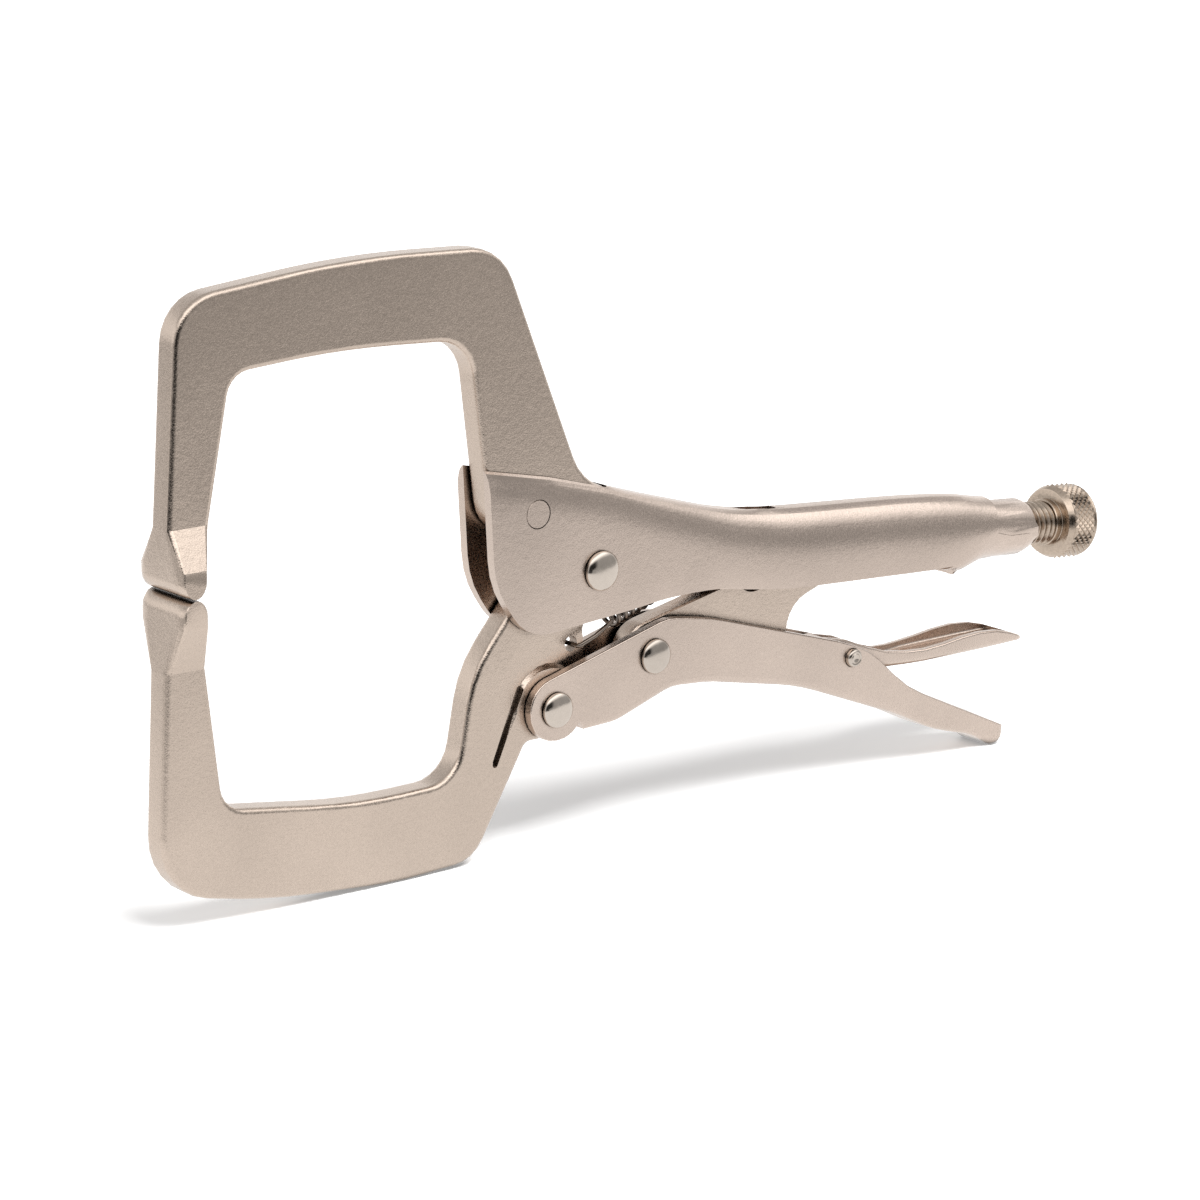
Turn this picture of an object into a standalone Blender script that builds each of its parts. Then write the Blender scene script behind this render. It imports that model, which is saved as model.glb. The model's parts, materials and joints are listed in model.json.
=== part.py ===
"""C-clamp locking pliers, 280 mm, closed and locked.

Metres, +Z up. The pliers stand on the lower jaw and the lever's tail: +X runs towards the adjusting
screw and Y is the thickness. Outlines are drawn from the jaw pivot (0, 0) in the X-Z plane, and
PIVOT_PLACE moves each finished piece into the part's own frame.
"""

import math

import bmesh
import bpy
from mathutils import Matrix, Vector

MM = 0.001

# Fits
SIDE_PLAY = 0.3 * MM
SEAT = 0.25 * MM
PIN_PLAY = 0.15 * MM
TIP_GAP = 0.3 * MM

# Longest straight piece of an arc, by its turn and by its length
ARC_TURN = math.radians(15)
ARC_LENGTH = 6.5 * MM

# Stock
JAW_THICKNESS = 7.0 * MM
JAW_EDGE = 1.4 * MM
HANDLE_SHEET = 2.4 * MM
LEVER_SHEET = 2.2 * MM
LEVER_BEND = 1.8 * MM
SHEARED_EDGE = 0.35 * MM
RELEASE_SHEET = 1.6 * MM
LINK_THICKNESS = 5.4 * MM

# Linkage, from the jaw pivot
LEVER_PIVOT = (-12.9 * MM, -31.2 * MM)
LINK_PIVOT = (16.3 * MM, -23.2 * MM)
LINK_TIP = (65.5 * MM, -9.8 * MM)
LINK_TIP_RADIUS = 4.2 * MM
RELEASE_PIVOT = (78.5 * MM, -34.0 * MM)
FIXED_PIN = (-18.1 * MM, 15.9 * MM)

# Jaws
TIP_REACH = 112.7 * MM
TIP_LEVEL = 11.1 * MM
TIP_HALF_WIDTH = 8.6 * MM
TIP_RADIUS = 3.65 * MM
UPPER_ROOT = 14.8 * MM
LOWER_ROOT = 17.0 * MM
TIP_BLOCK = 6.1 * MM
UPPER_ARM = 20.5 * MM
LOWER_ARM = 20.8 * MM
UPPER_CROWN = 79.3 * MM
LOWER_CROWN = -65.0 * MM
PIVOT_BOSS = 8.2 * MM
LEVER_BOSS = 7.3 * MM
RELIEF_START = -33.0 * MM
RELIEF_SLOPE = 0.07
TRENCH_WIDTH = 1.5 * MM
TRENCH_DEPTH = 1.4 * MM
RELIEF_RIM = [math.radians(a) for a in range(186, 124, -8)]
SPRING_HOLE = (-5.2 * MM, -17.6 * MM)
SPRING_HOLE_RADIUS = 1.9 * MM

# Rivets and pins: shank radius, head radius, dome height
JAW_RIVET = (3.4 * MM, 4.75 * MM, 2.0 * MM)
LEVER_RIVET = (3.0 * MM, 4.25 * MM, 1.8 * MM)
LINK_RIVET = (3.0 * MM, 4.25 * MM, 1.8 * MM)
FIXED_PIN_RADIUS = 3.3 * MM
RELEASE_PIN_RADIUS = 2.25 * MM
RELEASE_PIN_PROUD = 1.4 * MM

# Adjusting screw, on an axis that falls towards the knob
SCREW_POINT = (132.7 * MM, -10.05 * MM)
SCREW_SLOPE = math.radians(-4.9)
SCREW_RADIUS = 5.5 * MM
NOSE_LENGTH = 6.0 * MM
NOSE_RADIUS = 5.2 * MM
NOSE_GAP = 4.7 * MM
TAIL_RADIUS = 7.6 * MM
CRIMP_DEPTH = 0.9 * MM
KNOB_STANDOFF = 16.2 * MM
KNOB_LENGTH = 10.0 * MM
KNOB_RADIUS = 9.5 * MM
KNOB_FACE_RADIUS = 8.5 * MM
COLLAR_RADIUS = 5.9 * MM
COLLAR_LENGTH = 1.8 * MM

# Spring
WIRE_RADIUS = 0.55 * MM
COIL_RADIUS = 2.6 * MM
COIL_PITCH = 2.2 * MM
COIL_STEPS = 12
HOOK_REACH = 2.2 * MM
ANCHOR = (48.5 * MM, 0.9 * MM)

# Part frame: the jaw pivot above the floor and behind the middle of the length
PIVOT_PLACE = Vector((-19.99 * MM, 0.0, -LOWER_CROWN))

# Sections along X in millimetres: x, half width, top, low, upper corner radii, lower corner radii
HANDLE_OUTSIDE = (
    (-40, 6.2, 29.5, -25, (3.0, 5.5), (0.6, 0.6)),
    (-13.6, 6.2, 23.8, -25, (3.0, 5.5), (0.6, 0.6)),
    (4.7, 6.2, 18.8, -25, (3.6, 5.8), (0.6, 0.6)),
    (9.7, 6.2, 17.1, -25, (4.0, 6.0), (0.6, 0.6)),
    (19.7, 6.2, 14.0, -25, (4.6, 6.4), (0.6, 0.6)),
    (29.7, 6.3, 11.1, -25, (5.0, 6.8), (0.6, 0.6)),
    (36.7, 6.4, 9.0, -25, (5.4, 7.4), (0.6, 0.6)),
    (44.7, 6.6, 7.3, -25, (5.8, 8.2), (0.6, 0.6)),
    (54.7, 6.9, 6.0, -25, (6.2, 9.0), (0.6, 0.6)),
    (66.0, 7.3, 5.1, -25, (6.6, 9.6), (0.6, 0.6)),
    (80.0, 7.4, 4.1, -25, (6.9, 10.0), (0.6, 0.6)),
    (94.7, 7.4, 3.0, -25, (7.1, 10.2), (0.6, 0.6)),
    (104.7, 7.4, 2.0, -18.6, (7.2, 10.0), (3.5, 3.5)),
    (113.5, 7.4, 1.0, -19.2, (7.2, 9.4), (5.0, 5.0)),
    (118.2, 7.4, 0.1, -18.2, (7.3, 8.6), (6.4, 6.4)),
    (122.7, 7.4, -0.9, -17.4, (7.3, 8.2), (7.3, 7.9)),
    (128.7, 7.4, -2.0, -17.3, (7.3, 7.6), (7.3, 7.6)),
    (135.7, 7.3, -3.0, -17.9, (7.2, 7.4), (7.2, 7.4)),
    (137.9, 6.9, -3.7, -17.4, (6.8, 6.8), (6.8, 6.8)),
    (139.4, 6.3, -4.4, -16.9, (6.2, 6.2), (6.2, 6.2)),
)
HANDLE_INSIDE = (
    (-45, 3.8, 27.0, -45, (1.2, 3.0), (0.6, 0.6)),
    (4.7, 3.8, 16.4, -45, (1.4, 3.4), (0.6, 0.6)),
    (19.7, 3.8, 11.6, -45, (2.2, 4.0), (0.6, 0.6)),
    (29.7, 3.8, 8.7, -45, (2.6, 4.4), (0.6, 0.6)),
    (36.7, 4.0, 6.6, -45, (3.0, 5.0), (0.6, 0.6)),
    (44.7, 4.4, 5.1, -45, (3.6, 6.0), (0.6, 0.6)),
    (54.7, 5.0, 4.2, -45, (4.4, 7.0), (0.6, 0.6)),
    (66.0, 5.7, 3.5, -45, (5.1, 8.0), (0.6, 0.6)),
    (94.7, 5.9, 1.5, -45, (5.5, 8.6), (0.6, 0.6)),
    (96.0, 5.9, 1.4, -17.0, (5.5, 8.6), (2.0, 2.0)),
    (104.7, 5.9, 0.5, -17.0, (5.6, 8.4), (2.4, 2.4)),
    (113.5, 5.9, -0.5, -17.6, (5.7, 7.8), (3.8, 3.8)),
    (117.5, 5.9, -1.4, -16.8, (5.8, 7.0), (5.0, 5.0)),
)
RELEASE_OUTSIDE = (
    (54.5, 3.4, -30.9, -33.0, (0.5, 0.5), (0.8, 0.8)),
    (60.0, 3.4, -30.4, -34.2, (0.5, 0.5), (1.2, 1.2)),
    (67.0, 3.4, -28.6, -36.2, (0.5, 0.5), (1.4, 1.4)),
    (72.0, 3.4, -28.6, -37.4, (0.5, 0.5), (1.6, 1.6)),
    (79.0, 3.4, -30.2, -38.8, (0.5, 0.5), (1.6, 1.6)),
    (86.0, 3.4, -33.2, -39.3, (0.5, 0.5), (1.6, 1.6)),
    (92.0, 3.6, -35.2, -39.5, (0.5, 0.5), (1.8, 1.8)),
    (98.0, 5.0, -35.9, -39.5, (0.5, 0.5), (2.0, 1.8)),
    (103.0, 5.9, -36.0, -39.5, (0.5, 0.5), (2.2, 1.8)),
    (109.0, 6.1, -35.6, -39.5, (0.5, 0.5), (2.4, 1.8)),
    (115.0, 6.1, -34.9, -39.5, (0.5, 0.5), (2.4, 1.8)),
    (121.0, 6.1, -34.6, -39.5, (0.5, 0.5), (2.4, 1.8)),
    (127.0, 6.0, -35.1, -39.5, (0.5, 0.5), (2.4, 1.8)),
    (132.0, 5.9, -36.4, -39.4, (0.5, 0.5), (2.2, 1.6)),
    (134.6, 5.5, -37.4, -39.3, (0.5, 0.5), (1.6, 0.9)),
    (136.0, 4.9, -38.0, -39.2, (0.4, 0.4), (1.0, 0.5)),
    (136.8, 4.1, -38.3, -39.0, (0.3, 0.3), (0.6, 0.3)),
)

HALF_JAW = JAW_THICKNESS / 2
CHEEK_IN = HALF_JAW + SIDE_PLAY
HANDLE_OUT = CHEEK_IN + HANDLE_SHEET
LEVER_OUT = CHEEK_IN + LEVER_SHEET


def clear_scene():
    for old in list(bpy.data.objects):
        bpy.data.objects.remove(old, do_unlink=True)


def steel(name, colour, roughness):
    made = bpy.data.materials.new(name)
    made.use_nodes = True
    shader = made.node_tree.nodes["Principled BSDF"]
    shader.inputs["Base Color"].default_value = (*colour, 1.0)
    shader.inputs["Roughness"].default_value = roughness
    shader.inputs["Metallic"].default_value = 1.0
    return made


def rounded(corners):
    """A closed outline: each corner (x, z, radius) becomes an arc, or stays sharp at radius 0."""
    points = []
    for i, (x, z, radius) in enumerate(corners):
        here = Vector((x, z))
        before = Vector(corners[i - 1][:2])
        after = Vector(corners[(i + 1) % len(corners)][:2])
        if not radius:
            points.append(here)
            continue
        back = (before - here).normalized()
        ahead = (after - here).normalized()
        turn = math.pi - back.angle(ahead)
        reach = radius * math.tan(turn / 2)
        middle = here + (back + ahead).normalized() * (radius / math.cos(turn / 2))
        start = here + back * reach - middle
        side = 1 if back.x * ahead.y - back.y * ahead.x < 0 else -1
        count = math.ceil(max(turn / ARC_TURN, radius * turn / ARC_LENGTH))
        for k in range(count + 1):
            points.append(middle + Matrix.Rotation(side * turn * k / count, 2) @ start)
    return points


def finish(name, bm, skin, smooth=35):
    """Makes the object from a mesh drawn about the jaw pivot, with its faces outwards."""
    bmesh.ops.remove_doubles(bm, verts=bm.verts, dist=0.001 * MM)
    bmesh.ops.recalc_face_normals(bm, faces=bm.faces)
    if bm.calc_volume(signed=True) < 0:
        bmesh.ops.reverse_faces(bm, faces=bm.faces)
    mesh = bpy.data.meshes.new(name)
    bm.to_mesh(mesh)
    bm.free()
    mesh.shade_smooth()
    mesh.set_sharp_from_angle(angle=math.radians(smooth))
    made = bpy.data.objects.new(name, mesh)
    made.location = PIVOT_PLACE
    bpy.context.scene.collection.objects.link(made)
    if skin:
        mesh.materials.append(skin)
    return made


def prism(bm, outline, low, high):
    """Extrudes an X-Z outline along Y from low to high."""
    corners = [bm.verts.new((p.x, low, p.y)) for p in outline]
    base = bm.faces.new(corners)
    grown = bmesh.ops.extrude_face_region(bm, geom=[base])["geom"]
    moved = [v for v in grown if isinstance(v, bmesh.types.BMVert)]
    bmesh.ops.translate(bm, verts=moved, vec=(0, high - low, 0))


def plate(name, outline, low, high, skin=None):
    bm = bmesh.new()
    prism(bm, outline, low, high)
    return finish(name, bm, skin)


def round_edges(made, width, segments=2, limit=50):
    bevel = made.modifiers.new("edges", "BEVEL")
    bevel.width = width
    bevel.segments = segments
    bevel.limit_method = "ANGLE"
    bevel.angle_limit = math.radians(limit)
    bevel.use_clamp_overlap = False
    return bevel


def as_cutter(made):
    made.hide_render = True
    made.display_type = "WIRE"
    return made


def combine(made, other, operation):
    joined = made.modifiers.new(other.name, "BOOLEAN")
    joined.operation = operation
    joined.object = as_cutter(other)
    joined.solver = "EXACT"


def turned(name, profile, centre, direction, skin=None, steps=40):
    """Spins a profile of (along, radius) round an axis through centre."""
    bm = bmesh.new()
    rim = [bm.verts.new((radius, 0, along)) for along, radius in profile]
    edges = [bm.edges.new(pair) for pair in zip(rim, rim[1:])]
    bmesh.ops.spin(
        bm,
        geom=rim + edges,
        cent=(0, 0, 0),
        axis=(0, 0, 1),
        angle=math.tau,
        steps=steps,
        use_merge=True,
    )
    bmesh.ops.remove_doubles(bm, verts=bm.verts, dist=0.001 * MM)
    turn = Vector((0, 0, 1)).rotation_difference(Vector(direction))
    bmesh.ops.rotate(bm, verts=bm.verts, cent=(0, 0, 0), matrix=turn.to_matrix())
    bmesh.ops.translate(bm, verts=bm.verts, vec=centre)
    return finish(name, bm, skin)


def hole(name, spot, radius, half_length):
    """A plain drill along Y."""
    profile = [(-half_length, 0), (-half_length, radius), (half_length, radius), (half_length, 0)]
    return turned(name, profile, (spot[0], 0, spot[1]), (0, 1, 0))


def at(base, x, z, radius=0.0):
    """A corner at an offset in millimetres from a base point."""
    return (base[0] + x * MM, base[1] + z * MM, radius * MM)


# Jaws


def end_face(bm, level):
    """The leg's flat end at this level."""
    return min(bm.faces, key=lambda f: abs(f.calc_center_median().z - level) + abs(f.normal.x) * MM)


def grow_tip(bm, root, contact, side):
    """Draws the leg's end face out into the flared tip and rounds the end over across the jaw."""
    end = end_face(bm, root)
    rings = [(contact + side * TIP_BLOCK, TIP_RADIUS), (contact + side * TIP_RADIUS, TIP_RADIUS)]
    for degrees in (20, 40, 60, 80):
        turn = math.radians(degrees)
        rise = TIP_RADIUS * (1 - math.sin(turn))
        rings.append((contact + side * rise, TIP_RADIUS * math.cos(turn)))
    width = HALF_JAW
    centre = end.calc_center_bounds().x
    half = max(abs(v.co.x - centre) for v in end.verts)
    for level, reach in rings:
        grown = bmesh.ops.extrude_face_region(bm, geom=[end])["geom"]
        bmesh.ops.delete(bm, geom=[end], context="FACES_ONLY")
        end = next(f for f in grown if isinstance(f, bmesh.types.BMFace))
        for v in end.verts:
            across = v.co.y * TIP_HALF_WIDTH / width
            v.co = Vector(((v.co.x - centre) * reach / half - TIP_REACH, across, level))
        half, width, centre = reach, TIP_HALF_WIDTH, -TIP_REACH


def jaw(name, corners, root, contact, side, skin):
    """A forged C arm with rounded edges, ending in its flared tip."""
    bm = bmesh.new()
    prism(bm, rounded(corners), -HALF_JAW, HALF_JAW)
    tip_edges = set(end_face(bm, root).edges)
    rim = [e for e in bm.edges if len({round(v.co.y, 6) for v in e.verts}) == 1 and e not in tip_edges]
    bmesh.ops.bevel(
        bm,
        geom=rim,
        offset=JAW_EDGE,
        segments=3,
        profile=0.5,
        affect="EDGES",
        clamp_overlap=False,
        material=-1,
    )
    grow_tip(bm, root, contact, side)
    return finish(name, bm, skin)


def fixed_jaw(skin):
    tip = (-TIP_REACH, TIP_LEVEL + UPPER_ROOT)
    crown = (0.0, UPPER_CROWN)
    throat = (0.0, UPPER_CROWN - UPPER_ARM)
    outer = (-TIP_REACH, UPPER_CROWN)
    inner = (-TIP_REACH, UPPER_CROWN - UPPER_ARM)
    root_floor = PIVOT_BOSS + 2.2 * MM
    corners = [
        at(tip, 7.3, 0),
        at(inner, 13.8, -0.9, 6),
        at(throat, -70.3, 0.9, 250),
        at(throat, -34.9, -1.1, 10),
        (-29.1 * MM, root_floor, 10 * MM),
        (3.4 * MM, root_floor, 2.2 * MM),
        at((0, 0), 3.4, 18.9),
        at((0, 0), -2.9, 21.2, 14),
        at(crown, -25.6, -1.2, 13),
        at(crown, -66.0, 0.6, 280),
        at(outer, -0.2, -3.7, 11.5),
        at(tip, -3.6, 0),
    ]
    contact = TIP_LEVEL + TIP_GAP / 2
    made = jaw("fixed_jaw", corners, tip[1], contact, 1, skin)
    bore = hole("fixed_jaw_bore", FIXED_PIN, FIXED_PIN_RADIUS + PIN_PLAY, JAW_THICKNESS)
    combine(made, bore, "DIFFERENCE")
    return made


def relief(name, side):
    """The shallow pocket in the moving jaw's face, sloping down towards a bank round the lever's nose."""
    bank = [math.radians(a) for a in range(30, 181, 15)]
    crest = [LEVER_BOSS + gap for gap in (3.0 * MM, 1.4 * MM)]
    rim = 31.0 * MM
    rim_centre = Vector(at(LEVER_PIVOT, 13.6, -4.8)[:2])
    upper = [rim_centre + rim * Vector((math.cos(a), math.sin(a))) for a in RELIEF_RIM]
    upper += [Vector((-10 * MM, -11 * MM)), Vector((8 * MM, -11 * MM))]
    bm = bmesh.new()
    rows = []
    foot = Vector(at(LEVER_PIVOT, -16.4, -11.6)[:2])
    for radius, level in ((crest[0], 0), (crest[1], 1)):
        edge = [Vector(LEVER_PIVOT) + radius * Vector((math.cos(a), math.sin(a))) for a in bank]
        rows.append((edge + [foot] + upper + [Vector((8 * MM, edge[0].y))], level))
    loops = []
    for outline, level in rows:
        depths = [(p.x - RELIEF_START) * RELIEF_SLOPE for p in outline]
        levels = [HALF_JAW - depth if level == 0 else HALF_JAW + MM for depth in depths]
        loops.append([bm.verts.new((p.x, side * y, p.y)) for p, y in zip(outline, levels)])
    for points in loops:
        bm.faces.new(points)
    bmesh.ops.bridge_loops(bm, edges=list(bm.edges))
    return finish(name, bm, None)


def trench(name, side):
    """The groove along the foot of the relief's bank, with round ends."""
    half = TRENCH_WIDTH / 2
    line = [Vector(at(LEVER_PIVOT, *spot)[:2]) for spot in ((-8.4, 5.7), (-12.2, -2.5), (-16.0, -10.9))]
    run = (line[-1] - line[0]).normalized()
    across = Vector((-run.y, run.x)) * half
    turns = [math.radians(a) for a in range(30, 180, 30)]
    ahead = [line[-1] + across * math.cos(a) + run * half * math.sin(a) for a in turns]
    behind = [line[0] - across * math.cos(a) - run * half * math.sin(a) for a in turns]
    outline = [p + across for p in line] + ahead + [p - across for p in reversed(line)] + behind
    bottom, open_side = side * (HALF_JAW - TRENCH_DEPTH), side * (HALF_JAW + MM)
    return plate(name, outline, bottom, open_side)


def moving_jaw(skin):
    tip = (-TIP_REACH, TIP_LEVEL - LOWER_ROOT)
    sole = (0.0, LOWER_CROWN)
    throat = (0.0, LOWER_CROWN + LOWER_ARM)
    outer = (-TIP_REACH, LOWER_CROWN)
    inner = (-TIP_REACH, LOWER_CROWN + LOWER_ARM)
    corners = [
        at(tip, -4.9, 0),
        at(outer, -7.5, 9.4, 15),
        at(outer, 19.4, 3.0, 180),
        at(sole, -57.3, -0.25, 119),
        at(sole, -34.9, 0.8, 10),
        (LEVER_PIVOT[0] - 6.7 * MM, LEVER_PIVOT[1] - LEVER_BOSS, 2.5 * MM),
        (LEVER_PIVOT[0] + LEVER_BOSS, LEVER_PIVOT[1] - LEVER_BOSS, LEVER_BOSS * 0.9),
        at(LEVER_PIVOT, 7.3, 8.2, 1.2),
        at(SPRING_HOLE, 4.2, -4.6, 3.4),
        at(SPRING_HOLE, 3.4, 4.4, 3),
        (PIVOT_BOSS, -PIVOT_BOSS, PIVOT_BOSS * 0.98),
        (PIVOT_BOSS, PIVOT_BOSS, PIVOT_BOSS * 0.98),
        (-11.5 * MM, PIVOT_BOSS, 10 * MM),
        at(throat, -35.0, 24.8, 28),
        at(throat, -39.7, 0.1, 9.5),
        at(throat, -67.3, 0.0, 150),
        at(inner, 9.5, 5.4, 6.5),
        at(tip, 5.6, 0),
    ]
    contact = TIP_LEVEL - TIP_GAP / 2
    made = jaw("moving_jaw", corners, tip[1], contact, -1, skin)
    combine(made, hole("jaw_bore", (0, 0), JAW_RIVET[0] + PIN_PLAY, JAW_THICKNESS), "DIFFERENCE")
    combine(made, hole("lever_bore", LEVER_PIVOT, LEVER_RIVET[0] + PIN_PLAY, JAW_THICKNESS), "DIFFERENCE")
    combine(made, hole("spring_bore", SPRING_HOLE, SPRING_HOLE_RADIUS, JAW_THICKNESS), "DIFFERENCE")
    for name, side in (("near", -1), ("far", 1)):
        combine(made, relief(f"relief_{name}", side), "DIFFERENCE")
        combine(made, trench(f"trench_{name}", side), "DIFFERENCE")
    return made


# Handle and lever pressings


def ring(bm, x, half, top, low, high_round, low_round, steps=6):
    """One section across the piece, with (y, z) corner radii above and below."""
    points = []
    corners = (
        (half - high_round[0], top - high_round[1], high_round, 0),
        (high_round[0] - half, top - high_round[1], high_round, 90),
        (low_round[0] - half, low + low_round[1], low_round, 180),
        (half - low_round[0], low + low_round[1], low_round, 270),
    )
    for y, z, (across, up), start in corners:
        for k in range(steps + 1):
            turn = math.radians(start + 90 * k / steps)
            points.append(bm.verts.new((x, y + across * math.cos(turn), z + up * math.sin(turn))))
    return points


def loft(name, sections, skin=None):
    """Joins sections given in millimetres: x, half width, top, low, then the two corner radii."""
    bm = bmesh.new()
    loops = []
    for x, half, top, low, high_round, low_round in sections:
        sizes = (x * MM, half * MM, top * MM, low * MM)
        rounds = [(across * MM, up * MM) for across, up in (high_round, low_round)]
        points = ring(bm, *sizes, *rounds)
        loops.append([bm.edges.new(pair) for pair in zip(points, points[1:] + points[:1])])
        if len(loops) in (1, len(sections)):
            bm.faces.new(points)
    for loop, following in zip(loops, loops[1:]):
        bmesh.ops.bridge_loops(bm, edges=loop + following)
    return finish(name, bm, skin)


def millimetres(*corners):
    return [(x * MM, z * MM, radius * MM) for x, z, radius in corners]


def screw_spot(along):
    """The point this far along the screw axis, measured towards the knob."""
    run = Vector((math.cos(SCREW_SLOPE), 0, math.sin(SCREW_SLOPE)))
    return Vector((SCREW_POINT[0], 0, SCREW_POINT[1])) + run * along


def rod(name, start, end, radius, skin=None, steps=40):
    """A plain cylinder along the screw axis."""
    half = (end - start) / 2
    profile = [(-half, 0), (-half, radius), (half, radius), (half, 0)]
    middle = screw_spot((start + end) / 2)
    return turned(name, profile, middle, screw_spot(1) - screw_spot(0), skin, steps)


def slot_from_above(name, outline, low, high):
    """A cutter along Z from an X-Y outline."""
    bm = bmesh.new()
    corners = [bm.verts.new((p.x, p.y, low)) for p in outline]
    base = bm.faces.new(corners)
    grown = bmesh.ops.extrude_face_region(bm, geom=[base])["geom"]
    moved = [v for v in grown if isinstance(v, bmesh.types.BMVert)]
    bmesh.ops.translate(bm, verts=moved, vec=(0, 0, high - low))
    return finish(name, bm, None)


def cheek_outline():
    return rounded(
        millimetres(
            (-32.1, 28.6, 1.2),
            (-30.6, 0.5, 22),
            (-21.5, -13.2, 12),
            (30.0, -9.3, 60),
            (54.0, -13.1, 60),
            (104.0, -15.8, 0),
            (112.6, -17.5, 0),
            (118.0, -26.0, 0),
            (146.0, -26.0, 0),
            (146.0, 12.0, 0),
            (40.0, 12.0, 0),
            (2.0, 26.0, 0),
            (-26.0, 32.0, 0),
        )
    )


def crimp():
    """The step on the tail's upper half, where the sheet is pressed down on the screw's thread."""
    front = [(127.0, 0, 0), (125.3, -9.6, 0)]
    face = millimetres(*front, (129.8, -10.9, 0), (142.0, -11.6, 0), (142.0, 0, 0))
    made = plate("crimp", rounded(face), -10 * MM, 10 * MM)
    combine(made, rod("crimp_core", -12 * MM, 12 * MM, TAIL_RADIUS - CRIMP_DEPTH), "DIFFERENCE")
    return made


def fixed_handle(skin):
    made = loft("fixed_handle", HANDLE_OUTSIDE, skin)
    combine(made, loft("channel", HANDLE_INSIDE), "DIFFERENCE")
    combine(made, plate("cheeks", cheek_outline(), -12 * MM, 12 * MM), "INTERSECT")
    slot_end = 4.2
    seat = millimetres((-50, -3.8, 0), (slot_end, -3.8, 1.2), (slot_end, 3.8, 1.2), (-50, 3.8, 0))
    combine(made, slot_from_above("jaw_slot", rounded(seat), -5 * MM, 50 * MM), "DIFFERENCE")
    mouth = millimetres((90, -5.9, 0), (113.8, -3.2, 2.5), (113.8, 3.2, 2.5), (90, 5.9, 0))
    combine(made, slot_from_above("mouth", rounded(mouth), -30 * MM, -14 * MM), "DIFFERENCE")
    combine(made, rod("screw_bore", -24 * MM, 16 * MM, SCREW_RADIUS + SEAT), "DIFFERENCE")
    combine(made, crimp(), "DIFFERENCE")
    window = millimetres((47.5, -1.6, 0.4), (57.5, -1.6, 0.4), (57.5, 1.6, 0.4), (47.5, 1.6, 0.4))
    combine(made, slot_from_above("anchor_window", rounded(window), 3 * MM, 15 * MM), "DIFFERENCE")
    combine(made, anchor_tab(), "UNION")
    combine(made, hole("jaw_rivet_bore", (0, 0), JAW_RIVET[0] + PIN_PLAY, 12 * MM), "DIFFERENCE")
    combine(made, hole("fixed_pin_bore", FIXED_PIN, FIXED_PIN_RADIUS + PIN_PLAY, 12 * MM), "DIFFERENCE")
    return made


def anchor_tab():
    """The tongue lanced from the web and bent down, which the spring hooks over."""
    tongue = rounded(
        millimetres(
            (46.0, 6.0, 0),
            (49.4, 5.6, 1.5),
            (50.1, -0.6, 0.7),
            (48.5, -0.8, 0.6),
            (48.2, 3.6, 0.5),
            (46.0, 4.0, 0),
        )
    )
    return plate("anchor_tongue", tongue, -1.3 * MM, 1.3 * MM)


def lever_floor(up):
    """The gripping edge of the lever, raised by a distance in millimetres."""
    return [
        (5.5, -37.3 + up, 12),
        (22.0, -31.9 + up, 12),
        (34.0, -32.8 + up, 30),
        (62.0, -38.6 + up, 80),
        (94.0, -51.2 + up, 60),
        (107.0, -57.6 + up, 40),
        (120.5, -61.4 + up, 20),
    ]


def weigh_bends(mesh, from_x):
    """Gives the bends under the floor and at the tail their full radius, and sheared edges a small one."""
    weights = mesh.attributes.new("bevel_weight_edge", "FLOAT", "EDGE")
    walls = [p for p in mesh.polygons if abs(p.normal.y) < 0.5]
    bends = {key for p in walls if p.normal.z < 0.3 and p.center.x > from_x for key in p.edge_keys}
    for edge in mesh.edges:
        ends = [mesh.vertices[v].co for v in edge.vertices]
        if abs(ends[0].y - ends[1].y) < TIP_GAP:
            weights.data[edge.index].value = 1.0 if edge.key in bends else SHEARED_EDGE / LEVER_BEND


def moving_handle(skin):
    outline = [
        (-20.4, -25.3, 7.4),
        (-20.4, -38.7, 7.4),
        (-8.6, -38.7, 7.0),
        (-6.0, -35.3, 0.5),
        (-4.2, -37.6, 0),
        *lever_floor(0),
        (125.8, -65.0, 2.5),
        (130.0, -65.0, 2.8),
        (130.0, -60.2, 0),
        (97.0, -44.7, 40),
        (84.0, -32.8, 25),
        (74.0, -29.2, 25),
        (34.0, -16.9, 60),
        (20.5, -14.7, 12),
    ]
    made = plate("moving_handle", rounded(millimetres(*outline)), -LEVER_OUT, LEVER_OUT, skin)
    weigh_bends(made.data, from_x=-4.4 * MM)
    round_edges(made, LEVER_BEND, segments=3).limit_method = "WEIGHT"
    inside = [
        (-40.0, -70.0, 0),
        (-4.3, -70.0, 0),
        (-4.3, -34.0, 0),
        *lever_floor(LEVER_SHEET / MM),
        (126.0, -61.6, 0.8),
        (129.0, -50.0, 0),
        (129.0, 0, 0),
        (-40.0, 0, 0),
    ]
    channel = plate("lever_channel", rounded(millimetres(*inside)), -CHEEK_IN, CHEEK_IN)
    combine(made, channel, "DIFFERENCE")
    bores = (
        ("lever_rivet_bore", LEVER_PIVOT, LEVER_RIVET[0]),
        ("link_rivet_bore", LINK_PIVOT, LINK_RIVET[0]),
        ("release_pin_bore", RELEASE_PIVOT, RELEASE_PIN_RADIUS),
    )
    for name, spot, radius in bores:
        combine(made, hole(name, spot, radius + PIN_PLAY, 12 * MM), "DIFFERENCE")
    return made


# Toggle link and release lever


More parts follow.
